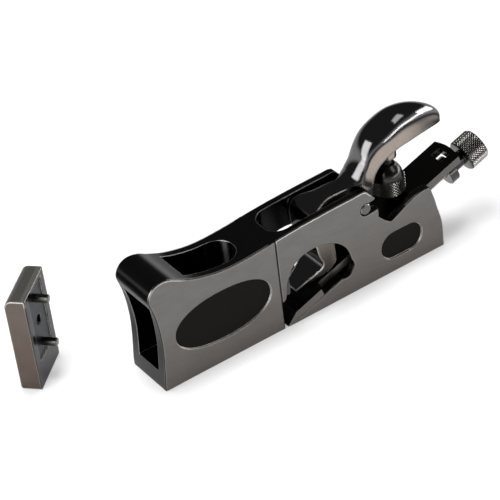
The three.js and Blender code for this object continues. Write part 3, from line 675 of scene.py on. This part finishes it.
class PlaneFinishes(bpy.types.PropertyGroup):
    """Colours and roughness of the metals."""
    ground_colour: colour_property("Ground iron", "Upper part of the ground sides", (0.152, 0.147, 0.142))
    ground_low_colour: colour_property("Ground iron, low", "Ground sides near the sole", (0.122, 0.111, 0.106))
    ground_roughness: FloatProperty(name="Ground roughness", description="Roughness of the ground sides",
                                    default=0.46, min=0.05, max=1, subtype="FACTOR")
    plate_colour: colour_property("Dark plating", "Bright black plating of tops and hollows", (0.065, 0.063, 0.066))
    plate_roughness: FloatProperty(name="Plating roughness", description="Roughness of the plated castings",
                                   default=0.12, min=0.01, max=1, subtype="FACTOR")
    dome_roughness: FloatProperty(name="Cap roughness", description="Roughness of the lever cap's dome",
                                  default=0.05, min=0.01, max=1, subtype="FACTOR")
    dome_colour: colour_property("Lever cap", "Mirror-bright dark plating of the lever cap", (0.15, 0.148, 0.15))
    recess_colour: colour_property("Recess floor", "Dull floor of the recesses", (0.010, 0.009, 0.0085))
    machined_colour: colour_property("Machined face", "Relief of the spare nose", (0.075, 0.081, 0.090))
    cap_side_colour: colour_property("Cap sides", "Hand-ground sides of the lever cap", (0.33, 0.285, 0.25))
    black_colour: colour_property("Black steel", "Blade face and knobs", (0.04, 0.039, 0.037))
    bare_colour: colour_property("Bare steel", "Ground edges and bevel of the blade", (0.13, 0.123, 0.116))
    # The tips of the knurling take this colour, as wear and as painted highlight.
    tip_wear_and_highlight_colour: colour_property("Rubbed knurling", "Tips of the knurling", (0.45, 0.43, 0.41))
    bright_colour: colour_property("Bright steel", "Pin, dowels, screw and spindle", (0.42, 0.41, 0.38))
    # This colour is painted along edges, as wear and as painted highlight.
    edge_wear_and_highlight_colour: colour_property("Worn edge", "Metal that shows along worn edges", (0.80, 0.77, 0.73))
    cap_edge_radius: FloatProperty(name="Cap edge radius", description="Width of the shine along the cap's edges",
                                   default=1.8 * MM, min=0.05 * MM, max=3 * MM, unit="LENGTH", precision=5)
    edge_radius: FloatProperty(name="Edge radius", description="Width of the shine along the castings' edges",
                               default=0.5 * MM, min=0.05 * MM, max=1 * MM, unit="LENGTH", precision=5)


class PlaneKnurling(bpy.types.PropertyGroup):
    """Knurling of the two knobs, and their threads."""
    around: IntProperty(name="Diamonds around", description="Diamonds in one row of a knob", default=36, min=12,
                        max=120)
    height: FloatProperty(name="Diamond height", description="Height of a diamond", default=0.6 * MM, min=0.1 * MM,
                          max=1.0 * MM, unit="LENGTH", precision=5)
    pitch: FloatProperty(name="Thread pitch", description="Rise of a thread for one turn", default=1.0 * MM,
                         min=0.3 * MM, max=2 * MM, unit="LENGTH", precision=5)
    depth: FloatProperty(name="Thread depth", description="Height of a thread's ridge", default=0.42 * MM,
                         min=0.1 * MM, max=0.8 * MM, unit="LENGTH", precision=5)


class PlaneStage(bpy.types.PropertyGroup):
    """Floor, light and camera."""
    floor_size: FloatProperty(name="Floor size", description="Side of the square floor", default=8.0, min=1, max=40,
                              unit="LENGTH")
    floor_colour: colour_property("Floor", "Colour of the floor", (0.93, 0.93, 0.93))
    light_level: FloatProperty(name="Light level", description="Power of the soft boxes beside their usual power",
                               default=1.0, min=0, max=20)
    lens: FloatProperty(name="Lens", description="Focal length of the camera", default=155.304, min=20, max=300,
                        unit="CAMERA")


# ---------------------------------------------------------------- operators

class PLANE_OT_castings(bpy.types.Operator):
    """Dress the body, the long nose and the spare nose in their ground and plated finishes"""
    bl_idname = "plane.castings"
    bl_label = "Castings"

    def execute(self, context):
        settings = context.scene.plane_finishes
        plane = casting("cast_iron_plane", settings)
        spare = casting("cast_iron_spare", settings, spare=True)
        for node, name, shapes, finish, body in (
                ("main_body", "stock_casting", [ease_edges], plane, "stock"),
                ("long_nose", "long_nose_casting", [close_joint, ease_edges], plane, "nose"),
                ("bullnose_piece", "spare_nose_casting", [ease_edges], spare, "stock")):
            wear(carried(node, name, shapes), finish, body, node)
        return {"FINISHED"}


class PLANE_OT_lever_cap(bpy.types.Operator):
    """Dress the lever cap"""
    bl_idname = "plane.lever_cap"
    bl_label = "Lever cap"

    def execute(self, context):
        cap = carried("lever_cap", "lever_cap_casting", [waist], crease=38.0)
        wear(cap, cap_plate(context.scene.plane_finishes), "cap", "lever_cap")
        return {"FINISHED"}


class PLANE_OT_blade(bpy.types.Operator):
    """Dress the blade"""
    bl_idname = "plane.blade"
    bl_label = "Blade"

    def execute(self, context):
        finish = blade_steel(context.scene.plane_finishes)
        wear(carried("blade", "blade_forged"), finish, "iron", "blade")
        return {"FINISHED"}


class PLANE_OT_thumbscrew(bpy.types.Operator):
    """Make the thumbscrew: a knurled head and its threaded stem"""
    bl_idname = "plane.thumbscrew"
    bl_label = "Thumbscrew"

    def execute(self, context):
        sizes = context.scene.plane_knurling
        low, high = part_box("thumbscrew_head")
        stem_low, stem_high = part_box("thumbscrew_stem")
        place = Matrix.Translation(((low.x + high.x) / 2, (low.y + high.y) / 2, 0))
        radius = (high.x - low.x) / 2 / MM
        groove = radius - sizes.height / MM
        finish = black_steel("black_thumbscrew", context.scene.plane_finishes, groove, tilted=False)
        bottom, top, shoulder = THUMB_FOOT, THUMB_FOOT + THUMB_KNURLED, high.z / MM
        stem_radius = (stem_high.x - stem_low.x) / 2 / MM
        bore = stem_radius + 0.1
        # Up the outside of the head, over its conical shoulder, and down its bore.
        head = turned("thumbscrew_knob", [
            (bore, bottom + 0.3), (bore + 0.3, bottom), (radius - 1.0, bottom), (radius - 0.8, bottom + 0.06),
            (groove, bottom + 0.85), (groove, top - 0.85), (radius - 0.85, top - 0.06), (radius - 1.1, top),
            (radius - 1.15, top + 0.9), (radius - 1.4, top + 2.1), (radius - 1.9, top + 3.3),
            (radius - 2.6, top + 4.4), (radius - 3.4, top + 5.3), (5.0, top + 5.9), (4.4, shoulder),
            (bore + 0.3, shoulder), (bore, shoulder - 0.3), (bore, bottom + 0.3)])
        knurl(head, bottom, THUMB_KNURLED, groove, sizes, finish)
        head.data.transform(place)
        wear(head, finish, "head", "thumbscrew_head")

        core = stem_radius - sizes.depth / MM
        foot, end = stem_low.z / MM, stem_high.z / MM
        ball = [(core * math.sin(angle), foot + core - core * math.cos(angle)) for angle in (0.0, 0.35, 0.7, 1.05, 1.4)]
        stem = turned("thumbscrew_rod", [*ball, (core, foot + stem_radius), (core, end - 0.4), (core - 0.4, end),
                                         (0, end)], sides=48)
        wind(stem, foot + PLAIN_FOOT, end - 1.5, core, sizes, finish)
        stem.data.transform(place)
        wear(stem, finish, "stem", "thumbscrew_stem")
        return {"FINISHED"}


class PLANE_OT_adjuster(bpy.types.Operator):
    """Make the depth adjuster: a knurled knob with its flange, and the threaded spindle"""
    bl_idname = "plane.adjuster"
    bl_label = "Depth adjuster"

    def execute(self, context):
        sizes = context.scene.plane_knurling
        place = adjuster_place()
        radius = ADJUSTER_RADIUS
        groove = radius - sizes.height / MM
        finish = black_steel("black_adjuster", context.scene.plane_finishes, groove, tilted=True)
        # Out of the bore, round the flange, the neck and the knurled part, and into the dimple in the knob's end.
        knob = turned("adjuster_knurled_knob", [
            (0, KNOB_END - 1.6), (2.6, KNOB_END - 1.6), (2.6, FLANGE + 0.3), (2.9, FLANGE), (6.9, FLANGE),
            (7.2, FLANGE + 0.3), (7.2, NECK - 0.3), (6.9, NECK), (4.3, NECK), (4.0, NECK + 0.3),
            (4.0, KNOB_FRONT - 0.4), (4.4, KNOB_FRONT), (radius - 1.0, KNOB_FRONT), (radius - 0.8, KNOB_FRONT + 0.06),
            (groove, KNOB_FRONT + 0.85), (groove, KNOB_END - 0.85), (radius - 0.8, KNOB_END - 0.06),
            (radius - 1.0, KNOB_END), (radius - 2.6, KNOB_END), (radius - 2.9, KNOB_END - 0.25),
            (2.2, KNOB_END - 0.25), (1.2, KNOB_END - 0.9), (0, KNOB_END - 0.9)])
        knurl(knob, KNOB_FRONT, KNOB_END - KNOB_FRONT, groove, sizes, finish)
        knob.data.transform(place)
        wear(knob, finish, "adjuster", "adjuster_knob")

        steel = bright_steel(context.scene.plane_finishes)
        core = SPINDLE_RADIUS - sizes.depth / MM
        rod = turned("adjuster_screw", [
            (0, SPINDLE_START), (core - 0.4, SPINDLE_START), (core, SPINDLE_START + 0.4), (core, SPINDLE_END - 0.4),
            (core - 0.4, SPINDLE_END), (0, SPINDLE_END)], sides=48)
        wind(rod, SPINDLE_START + 0.8, SPINDLE_END - 0.8, core, sizes, steel)
        rod.data.transform(place)
        wear(rod, steel, "stock", "adjuster_spindle")
        return {"FINISHED"}


class PLANE_OT_pins(bpy.types.Operator):
    """Dress the cross pin, the dowels and the nose screw"""
    bl_idname = "plane.pins"
    bl_label = "Pins, dowels and nose screw"

    def execute(self, context):
        finish = bright_steel(context.scene.plane_finishes)
        for node, name, body in (
                ("cap_pin", "cross_pin", "cap"), ("nose_screw", "slotted_nose_screw", "screw"),
                ("nose_dowel_upper", "nose_peg_upper", "nose"), ("nose_dowel_lower", "nose_peg_lower", "nose"),
                ("bullnose_dowel_upper", "spare_peg_upper", "stock"),
                ("bullnose_dowel_lower", "spare_peg_lower", "stock")):
            wear(carried(node, name), finish, body, node)
        return {"FINISHED"}


class PLANE_OT_stage(bpy.types.Operator):
    """Make the pale floor, the soft lights, the surroundings and the camera"""
    bl_idname = "plane.stage"
    bl_label = "Stage"

    def execute(self, context):
        settings = context.scene.plane_stage
        self.floor(settings)
        self.surroundings(context.scene)
        for lamp in LAMPS:
            self.light(settings.light_level, *lamp)
        self.camera(context.scene, settings.lens)
        context.scene.view_settings.view_transform = "Standard"
        return {"FINISHED"}

    @staticmethod
    def camera(scene, length):
        right = Vector(CAMERA_RIGHT).normalized()
        back = right.cross(Vector(CAMERA_UP)).normalized()
        turn = Matrix((right, back.cross(right), back)).transposed()
        lens = bpy.data.cameras.new("camera")
        lens.lens = length
        lens.sensor_width = 36
        lens.clip_start = 0.01
        scene.camera = placed("camera", lens)
        scene.camera.matrix_world = Matrix.Translation(CAMERA_PLACE) @ turn.to_4x4()

    @staticmethod
    def floor(settings):
        half = settings.floor_size / 2
        # It lies a hair below the soles.
        corners = [(x, y, -0.05 * MM) for x, y in ((-half, -half), (half, -half), (half, half), (-half, half))]
        mesh = bpy.data.meshes.new("floor")
        mesh.from_pydata(corners, [], [(0, 1, 2, 3)])
        pale = Finish("pale_floor")
        path = pale.add("ShaderNodeLightPath")
        camera, glossy, through = (Value(pale, path.outputs[f"Is {ray} Ray"])
                                   for ray in ("Camera", "Glossy", "Transmission"))
        matt = pale.node("ShaderNodeBsdfDiffuse", None, {"Color": (*settings.floor_colour, 1)})
        white = pale.node("ShaderNodeEmission", None, {"Color": (1, 1, 1, 1), "Strength": 1.0})
        # Around the plane the floor takes its shadow. Farther out it is plain white, and behind the heel that white
        # begins sooner, as painted light over part of the heel's shadow.
        distance = (pale.x * pale.x + pale.y * pale.y).math("SQRT")
        beyond = distance.rise(280, 700).most(pale.x.rise(88, 128) * 0.6)
        share = camera.most(glossy).most(through) * (0.35 + beyond * 0.65)
        pale.add("ShaderNodeOutputMaterial", None,
                 {"Surface": pale.node("ShaderNodeMixShader", None, [share, matt, white])})
        mesh.materials.append(pale.material)
        floor = placed("floor", mesh)

    @staticmethod
    def surroundings(scene):
        """A white sweep low around the floor, and a dim ceiling above it."""
        world = bpy.data.worlds.new("studio")
        world.use_nodes = True
        studio = Tree(world.node_tree)
        height = studio.apart(studio.node("ShaderNodeTexCoord", out="Generated"))[2]
        sweep = studio.node("ShaderNodeValToRGB", {"stops": [(0.02, (1, 1, 1, 1)), (0.25, (0.06, 0.06, 0.06, 1))]},
                            [height])
        background = studio.node("ShaderNodeBackground", None, {"Color": sweep, "Strength": 1.0})
        studio.add("ShaderNodeOutputWorld", None, {"Surface": background})
        scene.world = world

    @staticmethod
    def light(level, name, power, place, width, height):
        lamp = bpy.data.lights.new(name, "AREA")
        lamp.shape = "RECTANGLE"
        lamp.size = width
        lamp.size_y = height
        lamp.energy = power * level
        holder = placed(name, lamp)
        holder.location = place
        holder.rotation_euler = (Vector(place) - Vector(LIT_PLACE)).to_track_quat("Z", "Y").to_euler()
        # The plated tops would mirror the overhead box, and stay black without it.
        holder.visible_glossy = name != "overhead"


# ---------------------------------------------------------------- panel and running order

MAKERS = (PLANE_OT_castings, PLANE_OT_lever_cap, PLANE_OT_blade, PLANE_OT_thumbscrew, PLANE_OT_adjuster, PLANE_OT_pins,
          PLANE_OT_stage)
GROUPS = (("plane_finishes", PlaneFinishes), ("plane_knurling", PlaneKnurling), ("plane_stage", PlaneStage))


class PLANE_PT_parts(bpy.types.Panel):
    """Lists the pieces of the plane and what may be changed on them"""
    bl_idname = "PLANE_PT_parts"
    bl_label = "Shoulder plane"
    bl_space_type = "VIEW_3D"
    bl_region_type = "UI"
    bl_category = "Plane"

    def draw(self, context):
        for maker in MAKERS:
            self.layout.operator(maker.bl_idname)
        for group, _ in GROUPS:
            settings = getattr(context.scene, group)
            box = self.layout.box()
            for key in settings.bl_rna.properties.keys():
                if key not in ("rna_type", "name"):
                    box.prop(settings, key)


def register():
    for _, group in GROUPS:
        bpy.utils.register_class(group)
    for maker in MAKERS:
        bpy.utils.register_class(maker)
    bpy.utils.register_class(PLANE_PT_parts)
    for key, group in GROUPS:
        setattr(bpy.types.Scene, key, PointerProperty(type=group))


def unregister():
    for key, _ in GROUPS:
        delattr(bpy.types.Scene, key)
    bpy.utils.unregister_class(PLANE_PT_parts)
    for maker in reversed(MAKERS):
        bpy.utils.unregister_class(maker)
    for _, group in reversed(GROUPS):
        bpy.utils.unregister_class(group)


def main():
    register()
    for maker in MAKERS:
        getattr(bpy.ops.plane, maker.bl_idname.split(".")[1])()


if __name__ == "__main__":
    main()
